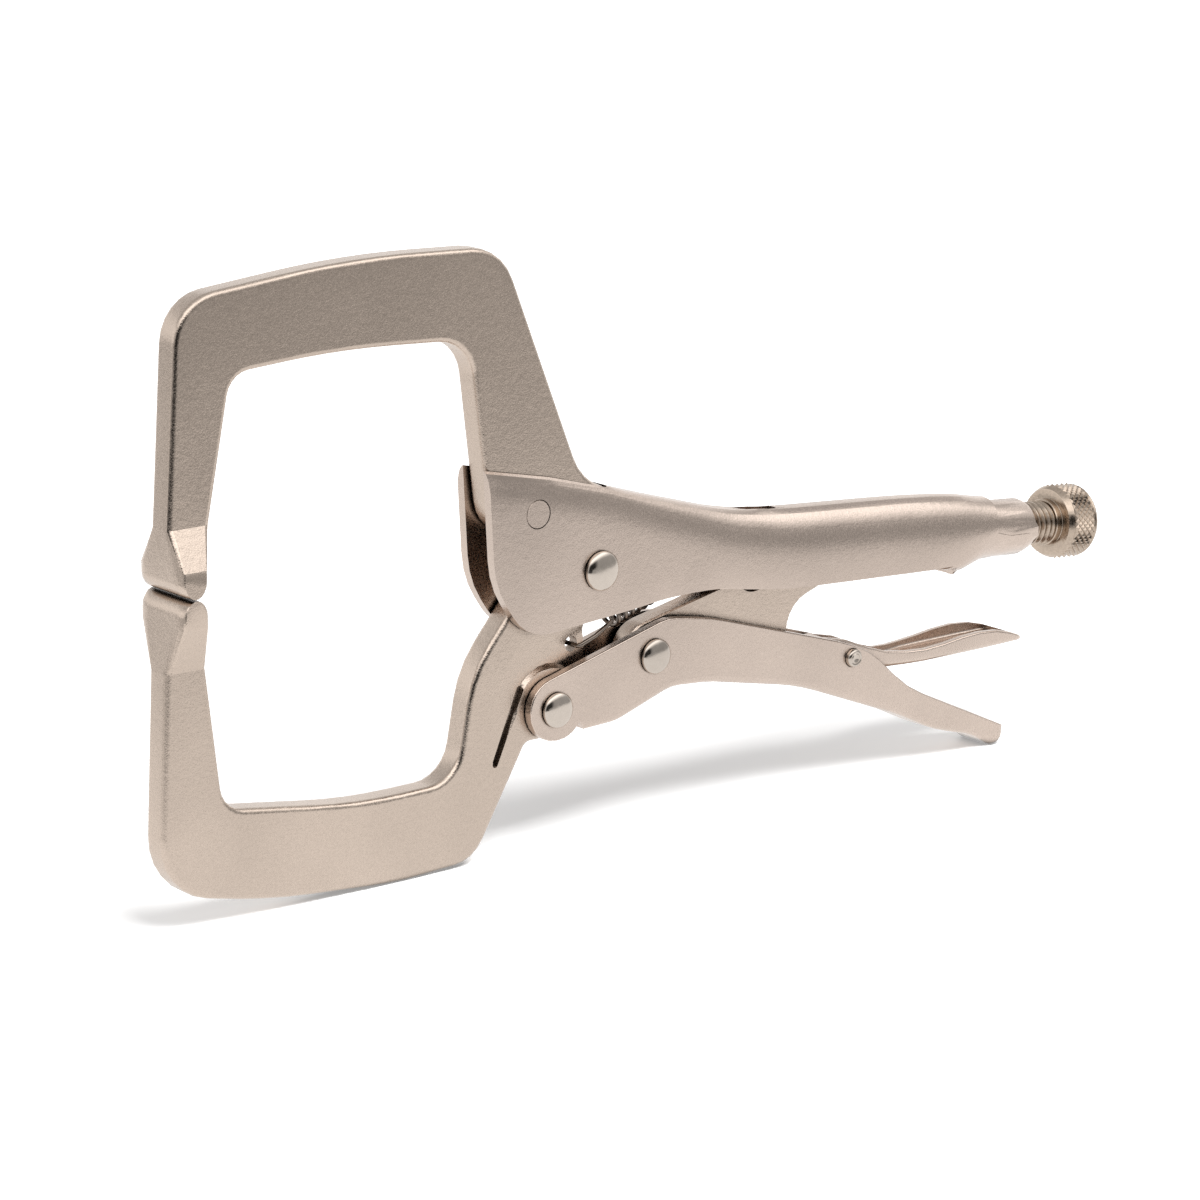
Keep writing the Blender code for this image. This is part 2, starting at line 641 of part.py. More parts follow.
def toggle_link(skin):
    outline = [
        at(LINK_PIVOT, -6.6, 6.2, 7.4),
        at(LINK_PIVOT, -6.0, -8.6, 6.6),
        (24 * MM, -28.8 * MM, 14 * MM),
        (44 * MM, -29.2 * MM, 30 * MM),
        (60.2 * MM, -28.4 * MM, 2.2 * MM),
        (60.2 * MM, -18.8 * MM, 9 * MM),
        at(LINK_TIP, 7.2, -4.9, 3.2),
        at(LINK_TIP, 3.8, 5.2, 4.2),
    ]
    half = LINK_THICKNESS / 2
    made = plate("toggle_link", rounded(outline), -half, half, skin)
    round_edges(made, 0.4 * MM, segments=1)
    combine(made, hole("link_bore", LINK_PIVOT, LINK_RIVET[0] + PIN_PLAY, half * 2), "DIFFERENCE")
    notch = (49.5 * MM, -8.0 * MM)
    combine(made, hole("link_notch", notch, 5.5 * MM, half * 2), "DIFFERENCE")
    return made


def release_lever(skin):
    """A trough of sheet steel with a nose under the link, a bearing on its pin and a wide thumb pad."""
    sheet = RELEASE_SHEET / MM
    made = loft("release_lever", RELEASE_OUTSIDE, skin)
    trough = []
    for x, half, top, low, high_round, low_round in RELEASE_OUTSIDE:
        if low_round[1] < 1.6:
            continue
        inner_round = (low_round[0] * 0.6, low_round[1] * 0.6)
        trough.append((x, half - sheet, top + 4, low + sheet, high_round, inner_round))
    combine(made, loft("trough", trough), "DIFFERENCE")
    bore = hole("release_bore", RELEASE_PIVOT, RELEASE_PIN_RADIUS + PIN_PLAY, 5 * MM)
    combine(made, bore, "DIFFERENCE")
    return made


# Rivets, pins, screw and spring


def rivet(name, spot, sizes, reach, skin):
    """A shank across the piece with a domed head outside each cheek."""
    shank, head, dome = sizes
    arc = [math.radians(a) for a in (0, 18, 36, 54, 72, 90)]
    right = [(reach + SEAT + dome * math.sin(a), head * math.cos(a)) for a in arc]
    left = [(-along, radius) for along, radius in reversed(right)]
    waist = [(-reach - SEAT, shank), (reach + SEAT, shank)]
    return turned(name, left + waist + right, (spot[0], 0, spot[1]), (0, 1, 0), skin, steps=32)


def pin(name, spot, radius, reach, edge, skin):
    profile = [(reach, radius - edge), (reach - edge, radius)]
    mirrored = [(-along, size) for along, size in reversed(profile)]
    outline = [(-reach, 0), *mirrored, *profile, (reach, 0)]
    return turned(name, outline, (spot[0], 0, spot[1]), (0, 1, 0), skin, steps=36)


def nose_start():
    """How far along the screw axis its nose begins, clear of the link's tip."""
    face = LINK_TIP[0] + LINK_TIP_RADIUS + NOSE_GAP
    return (face - SCREW_POINT[0]) / math.cos(SCREW_SLOPE)


def screw_nose(skin):
    start = nose_start()
    end = start + NOSE_LENGTH
    tip = [(start, 0), (start, NOSE_RADIUS - MM), (start + MM, NOSE_RADIUS)]
    profile = tip + [(end, NOSE_RADIUS), (end, 0)]
    return turned("screw_nose", profile, screw_spot(0), screw_spot(1) - screw_spot(0), skin)


def adjusting_screw(skin):
    start = nose_start() + NOSE_LENGTH + SIDE_PLAY
    knob = KNOB_STANDOFF
    back = knob + KNOB_LENGTH
    chamfer = KNOB_RADIUS - KNOB_FACE_RADIUS
    profile = [
        (start, 0),
        (start, SCREW_RADIUS),
        (knob - COLLAR_LENGTH, SCREW_RADIUS),
        (knob - COLLAR_LENGTH, COLLAR_RADIUS),
        (knob, COLLAR_RADIUS),
        (knob, KNOB_FACE_RADIUS),
        (knob + 1.4 * chamfer, KNOB_RADIUS),
        (back - chamfer, KNOB_RADIUS),
        (back, KNOB_FACE_RADIUS),
        (back, 0),
    ]
    axis = screw_spot(1) - screw_spot(0)
    return turned("adjusting_screw", profile, screw_spot(0), axis, skin, steps=48)


def spring(skin):
    """An extension spring from the jaw's ear to the anchor tab, with an open hook at each end."""
    start = Vector((SPRING_HOLE[0], 0, SPRING_HOLE[1]))
    end = Vector((ANCHOR[0], 0, ANCHOR[1]))
    along = (end - start).normalized()
    up = Vector((-along.z, 0, along.x))
    side = Vector((0, 1, 0))
    lead = 12.0 * MM
    tail = 8.0 * MM
    turns = math.floor(((end - start).length - lead - tail) / COIL_PITCH)
    face = HALF_JAW + 1.0 * MM
    points = [start + side * face, start - side * (face - 0.6 * MM)]
    points.append(start - side * face + along * 0.7 * MM)
    points += [start - side * face + along * 5.0 * MM, start - side * 3.4 * MM + along * 9.4 * MM]
    for k in range(turns * COIL_STEPS + 1):
        turn = math.tau * k / COIL_STEPS
        middle = start + along * (lead + COIL_PITCH * k / COIL_STEPS)
        points.append(middle + COIL_RADIUS * (up * math.sin(turn) - side * math.cos(turn)))
    beside = HOOK_REACH
    behind = HOOK_REACH + WIRE_RADIUS
    hook = ((-3 * MM, beside), (0.6 * behind, beside), (behind, 0.6 * beside), (behind, -0.8 * beside))
    for forward, across in hook:
        points.append(end + along * forward + side * across)
    path = bpy.data.curves.new("spring", "CURVE")
    path.dimensions = "3D"
    path.bevel_depth = WIRE_RADIUS
    path.bevel_resolution = 1
    path.use_fill_caps = True
    wire = path.splines.new("POLY")
    wire.points.add(len(points) - 1)
    for node, place in zip(wire.points, points):
        node.co = (*place, 1.0)
    made = bpy.data.objects.new("spring", path)
    made.location = PIVOT_PLACE
    bpy.context.scene.collection.objects.link(made)
    path.materials.append(skin)
    return made


def hang_on(axis, *pieces):
    """Moves the origins of the pieces to a joint axis without moving their shapes."""
    for piece in pieces:
        shift = Vector((axis[0], 0, axis[1]))
        piece.data.transform(Matrix.Translation(-shift))
        piece.location = PIVOT_PLACE + shift


def main():
    clear_scene()
    forged = steel("forged_steel", (0.50, 0.45, 0.41), 0.42)
    pressed = steel("pressed_steel", (0.56, 0.50, 0.45), 0.38)
    bright = steel("rivet_steel", (0.62, 0.60, 0.57), 0.22)
    machined = steel("screw_steel", (0.58, 0.53, 0.46), 0.28)
    wire = steel("spring_steel", (0.55, 0.52, 0.48), 0.30)

    fixed_handle(pressed)
    fixed_jaw(forged)
    pin("fixed_jaw_pin", FIXED_PIN, FIXED_PIN_RADIUS, HANDLE_OUT, 0.2 * MM, pressed)
    rivet("jaw_pivot_rivet", (0, 0), JAW_RIVET, HANDLE_OUT, bright)
    moving_jaw(forged)
    lever = moving_handle(pressed)
    lever_joint = rivet("lever_rivet", LEVER_PIVOT, LEVER_RIVET, LEVER_OUT, bright)
    link = toggle_link(forged)
    link_joint = rivet("link_rivet", LINK_PIVOT, LINK_RIVET, LEVER_OUT, bright)
    release = release_lever(pressed)
    release_joint = pin(
        "release_pin",
        RELEASE_PIVOT,
        RELEASE_PIN_RADIUS,
        LEVER_OUT + RELEASE_PIN_PROUD,
        0.4 * MM,
        bright,
    )
    nose = screw_nose(machined)
    screw = adjusting_screw(machined)
    spring(wire)

    hang_on(LEVER_PIVOT, lever, lever_joint)
    hang_on(LINK_PIVOT, link, link_joint)
    hang_on(RELEASE_PIVOT, release, release_joint)
    hang_on(SCREW_POINT, nose, screw)


main()
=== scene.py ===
# %% [markdown]
# Locking pliers, dressed for a studio table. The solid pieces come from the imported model, which also
# knows how they move. Each cell below takes one piece or one finish of the real tool, gives its form
# with Blender's mesh operators, and prints what it made.

import json
import math

import bmesh
import bpy
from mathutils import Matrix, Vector
from mathutils.bvhtree import BVHTree
from mathutils.kdtree import KDTree


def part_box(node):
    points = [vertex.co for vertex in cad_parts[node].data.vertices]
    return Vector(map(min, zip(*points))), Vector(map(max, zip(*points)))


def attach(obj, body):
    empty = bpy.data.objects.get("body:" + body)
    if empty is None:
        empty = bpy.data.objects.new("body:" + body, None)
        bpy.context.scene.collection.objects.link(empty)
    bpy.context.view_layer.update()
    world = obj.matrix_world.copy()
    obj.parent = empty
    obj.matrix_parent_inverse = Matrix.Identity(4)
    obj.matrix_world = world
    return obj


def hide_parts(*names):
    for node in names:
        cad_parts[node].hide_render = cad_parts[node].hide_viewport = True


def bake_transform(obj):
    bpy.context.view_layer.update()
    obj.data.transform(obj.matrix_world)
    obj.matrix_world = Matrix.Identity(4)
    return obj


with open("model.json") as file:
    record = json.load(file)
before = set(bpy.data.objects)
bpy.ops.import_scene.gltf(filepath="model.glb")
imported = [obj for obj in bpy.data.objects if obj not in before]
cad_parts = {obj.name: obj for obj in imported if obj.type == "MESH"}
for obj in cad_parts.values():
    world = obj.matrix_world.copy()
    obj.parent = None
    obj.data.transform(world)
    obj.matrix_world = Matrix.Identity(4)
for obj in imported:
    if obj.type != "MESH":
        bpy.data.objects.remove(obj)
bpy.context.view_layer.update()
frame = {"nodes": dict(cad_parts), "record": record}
joints = {joint["name"]: joint for joint in frame["record"]["behaviour"]["joints"]}
PIVOT = Vector(joints["jaw_pivot"]["pos_m"])
MM = 0.001
print("nodes:", ", ".join(sorted(frame["nodes"])))

# %% [markdown]
# The camera looks slightly down at the jaws' side of the tool. A long lens from about a metre away
# keeps the far end of the handle almost as large as the near jaws.

# %% Camera
CAMERA_PLACE = Vector((-634.2, -778.0, 309.4)) * MM
CAMERA_LOOK = Vector((0.6032, 0.7583, -0.2470))
LENS = 132.0

eye = bpy.data.objects.new("camera", bpy.data.cameras.new("camera"))
eye.data.lens = LENS
eye.data.sensor_width = 36.0
eye.data.clip_start = 0.01
eye.location = CAMERA_PLACE
eye.rotation_euler = CAMERA_LOOK.to_track_quat("-Z", "Y").to_euler()
bpy.context.scene.collection.objects.link(eye)
bpy.context.scene.camera = eye
print("camera at", [round(c, 3) for c in eye.location])

# %% [markdown]
# Metal shows its surroundings more than its own colour, so the studio matters as much as the finish.
# A white table fills the lower half of every reflection, the room above is dimmer, and large soft
# lamps make the pale streaks. The side where the camera stands is dark, so leaning faces and rounded
# edges that turn to it go dark too. The table's own shading keeps the soft shadow under the tool.

# %% Studio: helpers for node links
def wired(tree, kind, **values):
    """A new node, with its sockets set by name or joined to another node's output."""
    node = tree.nodes.new(kind)
    for name, value in values.items():
        if hasattr(node, name):
            setattr(node, name, value)
            continue
        label = name.replace("_", " ")
        socket = next(s for s in node.inputs if s.name == label and s.enabled)
        if isinstance(value, bpy.types.NodeSocket):
            tree.links.new(value, socket)
        else:
            socket.default_value = value
    return node


def maths(tree, operation, *terms):
    node = tree.nodes.new("ShaderNodeMath")
    node.operation = operation
    for socket, value in zip(node.inputs, terms):
        if isinstance(value, bpy.types.NodeSocket):
            tree.links.new(value, socket)
        else:
            socket.default_value = value
    return node.outputs[0]


def ramp(tree, source, *stops):
    """A grey that runs through (position, level) stops."""
    node = wired(tree, "ShaderNodeValToRGB", Fac=source)
    while len(node.color_ramp.elements) < len(stops):
        node.color_ramp.elements.new(0.5)
    for element, (position, grey) in zip(node.color_ramp.elements, stops):
        element.position = position
        element.color = (grey, grey, grey, 1.0)
    return node.outputs["Color"]


def tinted(tree, share, low, high):
    """A colour between two, by a share from 0 to 1. Each may be a colour or another node's output."""
    node = wired(tree, "ShaderNodeMix", data_type="RGBA", Factor=share, A=low, B=high)
    return next(o for o in node.outputs if o.enabled)


# %% Studio: the room
FRONT_SKY = ((0.0, 0.40), (0.34, 0.44), (0.50, 1.0), (0.68, 1.9), (0.84, 1.9), (1.0, 0.8))
BACK_SKY = ((0.0, 1.0), (0.30, 1.15), (0.62, 0.55), (1.0, 0.60))
LENS_SIDE = (-0.68, -0.73, 0.0)
LENS_SKY = (-0.45, -0.893, 0.0)
LENS_DARK = 0.03
AMBIENT = 0.40
BACK_BLEND = ((0.38, 0.0), (0.56, 1.0))
LENS_SPREAD = ((0.76, 0.0), (0.88, 1.0))
LENS_HEIGHT = ((0.36, 1.0), (0.54, 0.0))


def grey(level):
    return (level, level, level, 1.0)


def dotted(tree, vector, other):
    node = wired(tree, "ShaderNodeVectorMath", operation="DOT_PRODUCT")
    tree.links.new(vector, node.inputs[0])
    node.inputs[1].default_value = other
    return node.outputs["Value"]


room = bpy.data.worlds.new("room")
room.use_nodes = True
tree = room.node_tree
tree.nodes.clear()
direction = wired(tree, "ShaderNodeTexCoord").outputs["Generated"]
parts = wired(tree, "ShaderNodeSeparateXYZ", Vector=direction)
behind = ramp(tree, maths(tree, "MULTIPLY_ADD", parts.outputs["Y"], 0.5, 0.5), *BACK_BLEND)
front = ramp(tree, parts.outputs["Z"], *FRONT_SKY)
back = ramp(tree, parts.outputs["Z"], *BACK_SKY)
sky = tinted(tree, behind, front, back)
at_lens = ramp(tree, dotted(tree, direction, LENS_SKY), *LENS_SPREAD)
low_down = ramp(tree, parts.outputs["Z"], *LENS_HEIGHT)
crew = maths(tree, "MULTIPLY", at_lens, low_down)
walls = wired(tree, "ShaderNodeBackground", Color=tinted(tree, crew, sky, grey(LENS_DARK)))
ambient = wired(tree, "ShaderNodeBackground", Color=grey(1.0), Strength=AMBIENT)
white = wired(tree, "ShaderNodeBackground", Color=grey(1.0))
path = wired(tree, "ShaderNodeLightPath")
shown = wired(tree, "ShaderNodeMixShader", Fac=path.outputs["Is Glossy Ray"])
tree.links.new(ambient.outputs[0], shown.inputs[1])
tree.links.new(walls.outputs[0], shown.inputs[2])
seen = wired(tree, "ShaderNodeMixShader", Fac=path.outputs["Is Camera Ray"])
tree.links.new(shown.outputs[0], seen.inputs[1])
tree.links.new(white.outputs[0], seen.inputs[2])
wired(tree, "ShaderNodeOutputWorld", Surface=seen.outputs[0])
bpy.context.scene.world = room
bpy.context.scene.view_settings.view_transform = "Standard"
print("room: front sky", FRONT_SKY, "back sky", BACK_SKY)

# %% Studio: the table
TABLE_SIDE = 6.0
TABLE_WHITE = 0.86
NEAR_LIFT = 0.15
LIFT_PER_METRE = 1.2
TABLE_DEPTH = ((0.0, 1.06), (0.22, 1.02), (0.34, 0.44), (1.0, 0.40))
TABLE_LEFT = ((0.0, 1.0), (0.28, 1.0), (0.36, 0.5), (1.0, 0.5))
LENS_HEADING = ((0.84, 0.0), (0.94, 1.0))
LENS_DISTANCE = ((0.32, 0.0), (0.42, 1.0))

bm = bmesh.new()
bmesh.ops.create_grid(bm, x_segments=1, y_segments=1, size=TABLE_SIDE / 2)
mesh = bpy.data.meshes.new("table")
bm.to_mesh(mesh)
bm.free()
table = bpy.data.objects.new("table", mesh)
bpy.context.scene.collection.objects.link(table)
paper = bpy.data.materials.new("table_paper")
paper.use_nodes = True
tree = paper.node_tree
tree.nodes.clear()
matt = wired(tree, "ShaderNodeBsdfDiffuse", Color=(TABLE_WHITE,) * 3 + (1.0,))
path = wired(tree, "ShaderNodeLightPath")
spot = wired(tree, "ShaderNodeTexCoord").outputs["Object"]
away = wired(tree, "ShaderNodeVectorMath", operation="LENGTH", Vector=spot).outputs["Value"]
far_lift = maths(tree, "MULTIPLY_ADD", away, LIFT_PER_METRE, NEAR_LIFT)
lift = maths(tree, "MULTIPLY", far_lift, path.outputs["Is Camera Ray"])
shone = wired(tree, "ShaderNodeEmission", Strength=lift)
lit = wired(tree, "ShaderNodeAddShader")
tree.links.new(matt.outputs[0], lit.inputs[0])
tree.links.new(shone.outputs[0], lit.inputs[1])
parts = wired(tree, "ShaderNodeSeparateXYZ", Vector=spot)
forward = maths(tree, "MULTIPLY", parts.outputs["Y"], -1.0)
leftward = maths(tree, "MULTIPLY", parts.outputs["X"], -1.0)
level = maths(tree, "MULTIPLY", ramp(tree, forward, *TABLE_DEPTH), ramp(tree, leftward, *TABLE_LEFT))
heading = maths(tree, "DIVIDE", dotted(tree, spot, LENS_SIDE), away)
shade = maths(
    tree,
    "MULTIPLY",
    ramp(tree, heading, *LENS_HEADING),
    ramp(tree, away, *LENS_DISTANCE),
)
mirrored = wired(tree, "ShaderNodeEmission", Color=tinted(tree, shade, level, grey(LENS_DARK)))
both = wired(tree, "ShaderNodeMixShader", Fac=path.outputs["Is Glossy Ray"])
tree.links.new(lit.outputs[0], both.inputs[1])
tree.links.new(mirrored.outputs[0], both.inputs[2])
wired(tree, "ShaderNodeOutputMaterial", Surface=both.outputs[0])
mesh.materials.append(paper)
print("table", TABLE_SIDE, "m across")


# %% Studio: soft lamps
def lamp(name, place, aim, size, watts):
    light = bpy.data.lights.new(name, "AREA")
    light.shape = "RECTANGLE"
    light.size, light.size_y = size
    light.energy = watts
    made = bpy.data.objects.new(name, light)
    made.location = place
    made.visible_glossy = False
    made.rotation_euler = (Vector(aim) - Vector(place)).to_track_quat("-Z", "Y").to_euler()
    bpy.context.scene.collection.objects.link(made)
    return made


lamp("overhead", (0.07, -0.58, 1.08), (0, 0, 0), (0.85, 0.50), 20.0)
lamp("back_strip", (0.1, 1.1, 0.9), (0, 0, 0.05), (1.2, 0.5), 4.0)

# %% [markdown]
# The forged and pressed pieces carry satin nickel. The plating follows the blasted steel below it, so
# up close it sparkles in grains of about half a millimetre, and from afar its tone drifts gently.
# Both come from noise in the piece's own coordinates: fine noise lifts the surface and changes its
# gloss, and broad noise moves the colour. Painted shade darkens the colour of what is closely
# enclosed, such as a gap or the foot of a rivet, and faces marked as rubbed are glossier.


# %% Satin nickel
RUB_GLOSS = 0.11
PAINTED_SHADE_REACH = 3.0 * MM
PAINTED_SHADE_DARK = 0.16
GLOSS_SWING = 0.08
BROAD_SCALE = 28.0


def satin(name, colour, roughness, grain, lift, drift=0.05, speckle=0.12):
    """Blasted and plated steel: grain in metres, lift as the grain's height."""
    skin = bpy.data.materials.new(name)
    skin.use_nodes = True
    tree = skin.node_tree
    shader = tree.nodes["Principled BSDF"]
    shader.inputs["Metallic"].default_value = 1.0
    place = wired(tree, "ShaderNodeTexCoord").outputs["Object"]
    fine = wired(tree, "ShaderNodeTexNoise", Vector=place, Scale=1 / grain, Detail=3.0, Roughness=0.6)
    coarse = wired(tree, "ShaderNodeTexNoise", Vector=place, Scale=0.22 / grain, Detail=2.0)
    broad = wired(tree, "ShaderNodeTexNoise", Vector=place, Scale=BROAD_SCALE, Detail=2.0)
    tone = ramp(tree, broad.outputs["Fac"], (0.35, 1 - drift), (0.65, 1 + drift))
    spots = ramp(tree, fine.outputs["Fac"], (0.32, 1 - speckle), (0.68, 1 + speckle))
    shade = wired(tree, "ShaderNodeVectorMath", operation="MULTIPLY")
    # Painted shade: the colour is darkened where ambient occlusion finds the surface closely enclosed.
    open_sky = wired(tree, "ShaderNodeAmbientOcclusion", Distance=PAINTED_SHADE_REACH)
    open_sky.samples = 6
    painted_shade = ramp(tree, open_sky.outputs["AO"], (0.25, PAINTED_SHADE_DARK), (0.72, 1.0))
    tree.links.new(maths(tree, "MULTIPLY", tone, painted_shade), shade.inputs[0])
    tree.links.new(spots, shade.inputs[1])
    body = wired(tree, "ShaderNodeVectorMath", operation="MULTIPLY")
    tree.links.new(shade.outputs[0], body.inputs[0])
    body.inputs[1].default_value = colour
    tree.links.new(body.outputs[0], shader.inputs["Base Color"])
    gloss = wired(tree, "ShaderNodeMapRange", Value=fine.outputs["Fac"])
    gloss.inputs["From Min"].default_value = 0.3
    gloss.inputs["From Max"].default_value = 0.7
    gloss.inputs["To Min"].default_value = roughness - GLOSS_SWING
    gloss.inputs["To Max"].default_value = roughness + GLOSS_SWING
    rubbed = wired(tree, "ShaderNodeAttribute")
    rubbed.attribute_name = "rubbed"
    smooth = maths(tree, "MULTIPLY_ADD", rubbed.outputs["Fac"], RUB_GLOSS - roughness, gloss.outputs[0])
    tree.links.new(maths(tree, "MAXIMUM", smooth, 0.05), shader.inputs["Roughness"])
    swell = wired(tree, "ShaderNodeBump", Height=coarse.outputs["Fac"], Distance=lift * 2, Strength=0.5)
    bump = wired(tree, "ShaderNodeBump", Height=fine.outputs["Fac"], Distance=lift, Strength=1.0)
    tree.links.new(swell.outputs[0], bump.inputs["Normal"])
    tree.links.new(bump.outputs[0], shader.inputs["Normal"])
    return skin


finishes = {
    "forged_steel": satin("forged_nickel", (0.625, 0.518, 0.437), 0.26, 0.36 * MM, 0.055 * MM),
    "pressed_steel": satin("pressed_nickel", (0.655, 0.545, 0.472), 0.28, 0.36 * MM, 0.035 * MM),
    "rivet_steel": satin("rivet_nickel", (0.61, 0.54, 0.475), 0.15, 1.6 * MM, 0.015 * MM, 0.08, 0.05),
    "screw_steel": satin("screw_nickel", (0.54, 0.44, 0.355), 0.22, 0.9 * MM, 0.03 * MM),
    # The spring's wire is dark, and darker still as painted shade, so that the jaw's ear hole which its hook
    # fills reads dark.
    "spring_steel": satin("spring_dark_and_painted_shade", (0.24, 0.20, 0.17), 0.26, 0.9 * MM, 0.02 * MM),
}
print("finishes:", ", ".join(finishes))

# %% [markdown]
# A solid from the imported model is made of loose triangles. For a visible piece its mesh is copied, its
# points are merged, and flat neighbours are joined into one face. Then a small Bevel rounds the edges
# that a press or a blasting wheel leaves soft, and weighted normals keep the flats flat. The faces
# that the bevel makes, and small faces that lean, are marked as rubbed.


# %% Dressing a solid
RUBBED_LEAN = (0.12, 0.93)
RUBBED_AREA = 12 * MM * MM


def body_of(node):
    bodies = frame["record"]["behaviour"]["bodies"]
    return next(name for name, nodes in bodies.items() if node in nodes)


def slot_of(node):
    parts = frame["record"]["subparts"]
    return next(part["material_slot"] for part in parts if part["node"] == node)


def piece(name, bm, node, smooth=35.0):
    """Turns a finished bmesh into the piece that stands for a node of the solid model."""
    mesh = bpy.data.meshes.new(name)
    bm.to_mesh(mesh)
    bm.free()
    mesh.shade_smooth()
    mesh.set_sharp_from_angle(angle=math.radians(smooth))
    made = bpy.data.objects.new(name, mesh)
    bpy.context.scene.collection.objects.link(made)
    mesh.materials.append(finishes[slot_of(node)])
    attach(made, body_of(node))
    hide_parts(node)
    return made


def copied(node):
    """The solid's shape as joined faces."""
    bm = bmesh.new()
    bm.from_mesh(frame["nodes"][node].data)
    bmesh.ops.remove_doubles(bm, verts=bm.verts, dist=0.002 * MM)
    bmesh.ops.dissolve_degenerate(bm, edges=bm.edges, dist=0.001 * MM)
    bmesh.ops.dissolve_limit(bm, angle_limit=math.radians(0.4), verts=bm.verts, edges=bm.edges)
    return bm


def set_shape(made):
    """Fixes the modifiers' result as the mesh, marks what is rubbed, and returns the bevel's faces."""
    deps = bpy.context.evaluated_depsgraph_get()
    mesh = bpy.data.meshes.new_from_object(made.evaluated_get(deps))
    made.modifiers.clear()
    made.data = mesh
    mark = mesh.attributes.new("rubbed", "FLOAT", "FACE")
    for face in mesh.polygons:
        rounded = RUBBED_LEAN[0] < abs(face.normal.y) < RUBBED_LEAN[1] and face.area < RUBBED_AREA
        mark.data[face.index].value = 1.0 if face.material_index or rounded else 0.0
    rims = [face.index for face in mesh.polygons if face.material_index]
    for index in rims:
        mesh.polygons[index].material_index = 0
    while len(mesh.materials) > 1:
        mesh.materials.pop()
    return set(rims)


def soften(made, width, segments=2, limit=32.0):
    edge = made.modifiers.new("soft_edge", "BEVEL")
    edge.width = width
    edge.segments = segments
    edge.limit_method = "ANGLE"
    edge.angle_limit = math.radians(limit)
    edge.harden_normals = False
    made.data.materials.append(made.data.materials[0])
    edge.material = 1
    flat = made.modifiers.new("flats", "WEIGHTED_NORMAL")
    flat.keep_sharp = True

# %% [markdown]
# A jaw's flared tip begins and ends at a crease, so those lines stay sharp and its wide faces are
# shaded flat.

# %% The jaws' tips
CREASE_SLACK = 0.05
FLARE_AREA = 20 * MM * MM
FLARE_LEAN = 0.8


def crease(made, levels):
    """Keeps sharp the lines across a jaw's leg where its flared tip begins and ends."""
    for edge in made.data.edges:
        heights = [(made.data.vertices[v].co.z - PIVOT.z) / MM for v in edge.vertices]
        if any(max(abs(h - level) for h in heights) < CREASE_SLACK for level in levels):
            edge.use_edge_sharp = True


def level_flare(made, levels):
    """Shades each wide flat face of a jaw's tip by its own normal, so that the creases show."""
    mesh = made.data
    corners = [corner.vector.copy() for corner in mesh.corner_normals]
    low, high = (PIVOT.z + level * MM for level in sorted(levels))
    tip = [face for face in mesh.polygons if low < face.center.z < high]
    wide = [face for face in tip if face.area > FLARE_AREA and abs(face.normal.y) > FLARE_LEAN]
    for face in wide:
        for loop in face.loop_indices:
            corners[loop] = face.normal.copy()
    mesh.normals_split_custom_set(corners)
    print(made.name, "flat faces at the tip:", len(wide))


# %% [markdown]
# The handle is one bent sheet. Its skin is sliced into small faces, and its radius, measured from a
# line through its middle, is averaged along the length. The crimp's lower edge is lifted level with
# the tube. At last each corner takes the mean normal of the faces near it that face nearly its way.

# %% The handle's skin
SLICE_SNAP = 0.2 * MM
AXIS_DROP = 8 * MM
RAY_LENGTH = 30 * MM
LEAST_RADIUS = 2 * MM
SKIN_SLACK = 0.06 * MM
FAIR_SPAN = (8, 119)
FAIR_FADE = (10, 8)
FAIR_STEPS = 8
FAIR_STEP = 1.25
FAIR_FALL = 24
FAIR_JUMP = 1.6 * MM
CRIMP_ALONG = (124, 143.5)
CRIMP_UP = (-12.4, -9.2)
CRIMP_OUT = (6.0, 7.2)
TUBE_HALF = 7.1 * MM
TUBE_START = 121 * MM
SKIN_END = 143 * MM
NORMAL_REACH = 2.6 * MM
NORMAL_KIN = 0.82
TUBE_KIN = 0.6


def smooth_step(share):
    share = min(1.0, max(0.0, share))
    return share * share * (3 - 2 * share)


def sliced(bm, normal, levels):
    for level in levels:
        geom = bm.verts[:] + bm.edges[:] + bm.faces[:]
        place = Vector(normal) * level
        bmesh.ops.bisect_plane(bm, geom=geom, dist=SLICE_SNAP, plane_co=place, plane_no=normal)


def fair_skin(bm):
    """Evens out the handle's outer skin, by averaging its radius a little way along each side."""
    solid = BVHTree.FromBMesh(bm)

    def radius(x, out):
        axis = Vector((x, 0, PIVOT.z - AXIS_DROP))
        hit = solid.ray_cast(axis + out * RAY_LENGTH, -out)[0]
        return (hit - axis).dot(out) if hit else 0.0

    moves = []
    for v in bm.verts:
        along = (v.co.x - PIVOT.x) / MM
        share = smooth_step((along - FAIR_SPAN[0]) / FAIR_FADE[0])
        share *= smooth_step((FAIR_SPAN[1] - along) / FAIR_FADE[1])
        arm = Vector((0, v.co.y, v.co.z - PIVOT.z + AXIS_DROP))
        if share == 0 or arm.length < LEAST_RADIUS:
            continue
        out = arm.normalized()
        own = radius(v.co.x, out)
        if abs(own - arm.length) > SKIN_SLACK:
            continue
        found = [(1.0, own)]
        for step in range(1, FAIR_STEPS + 1):
            pair = [radius(v.co.x + side * step * FAIR_STEP * MM, out) for side in (-1, 1)]
            if max(abs(r - own) for r in pair) < FAIR_JUMP:
                found.append((2 * math.exp(-step * step / FAIR_FALL), sum(pair) / 2))
        mean = sum(w * r for w, r in found) / sum(w for w, r in found)
        moves.append((v, out * (mean - own) * share))
    for v, move in moves:
        v.co += move
    print("handle skin faired at", len(moves), "points")


